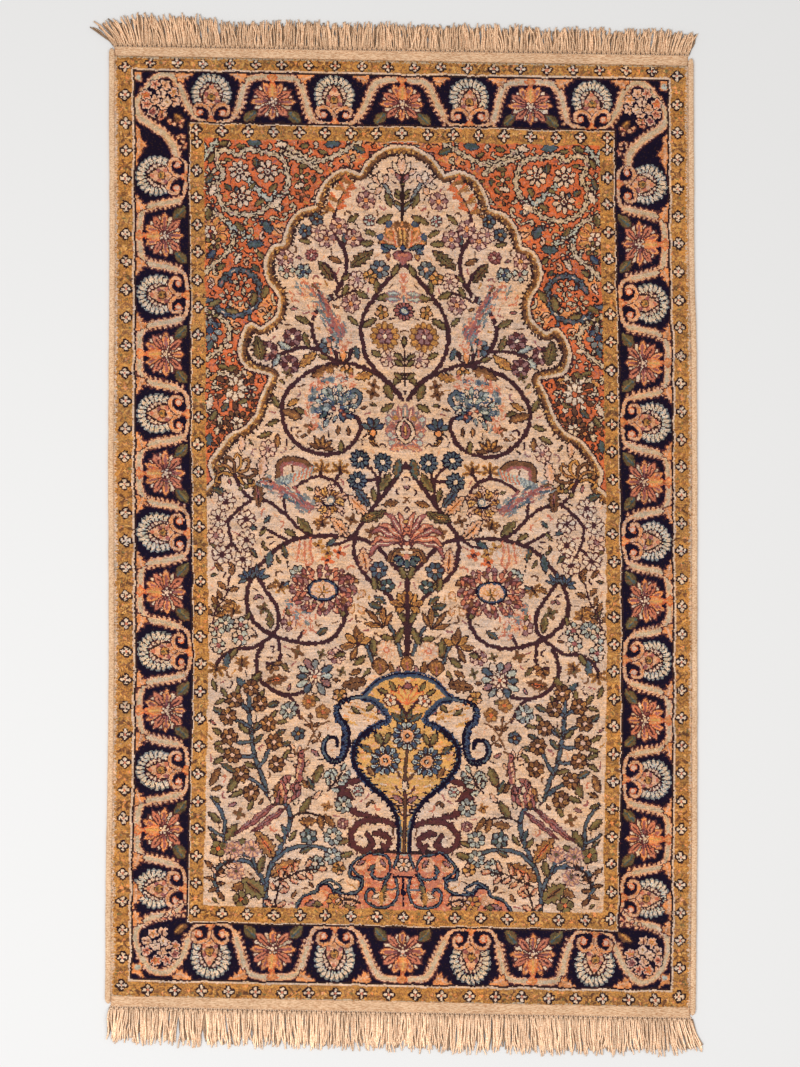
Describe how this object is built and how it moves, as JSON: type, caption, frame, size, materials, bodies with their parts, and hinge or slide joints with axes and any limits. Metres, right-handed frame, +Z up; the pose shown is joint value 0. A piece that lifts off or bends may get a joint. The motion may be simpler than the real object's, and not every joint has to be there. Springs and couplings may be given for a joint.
{
  "type": "kashmir silk prayer rug",
  "caption": "Small hand-knotted silk rug lying flat: a rectangular pile field with a pointed niche, flat-woven end bands, overcast long edges and a knotted fringe at both ends.",
  "frame": {"origin": "on the floor, at the middle of the rug with its fringes", "axes": "+Y along the rug towards the point of the niche, +X across it, +Z up out of the pile"},
  "size_m": [0.7852, 1.3612, 0.005],
  "materials": {
    "silk_pile": "soft sheen of cut silk pile, knotted in many colours",
    "overcast_yarn": "cream yarn wrapped closely round the edge, matte",
    "warp_ends": "cream plied warp yarn and flat weave, matte"
  },
  "bodies": {
    "root": {"rug_body": "silk_pile", "selvedge_left": "overcast_yarn", "selvedge_right": "overcast_yarn", "fringe_top": "warp_ends", "fringe_bottom": "warp_ends"}
  },
  "joints": []
}
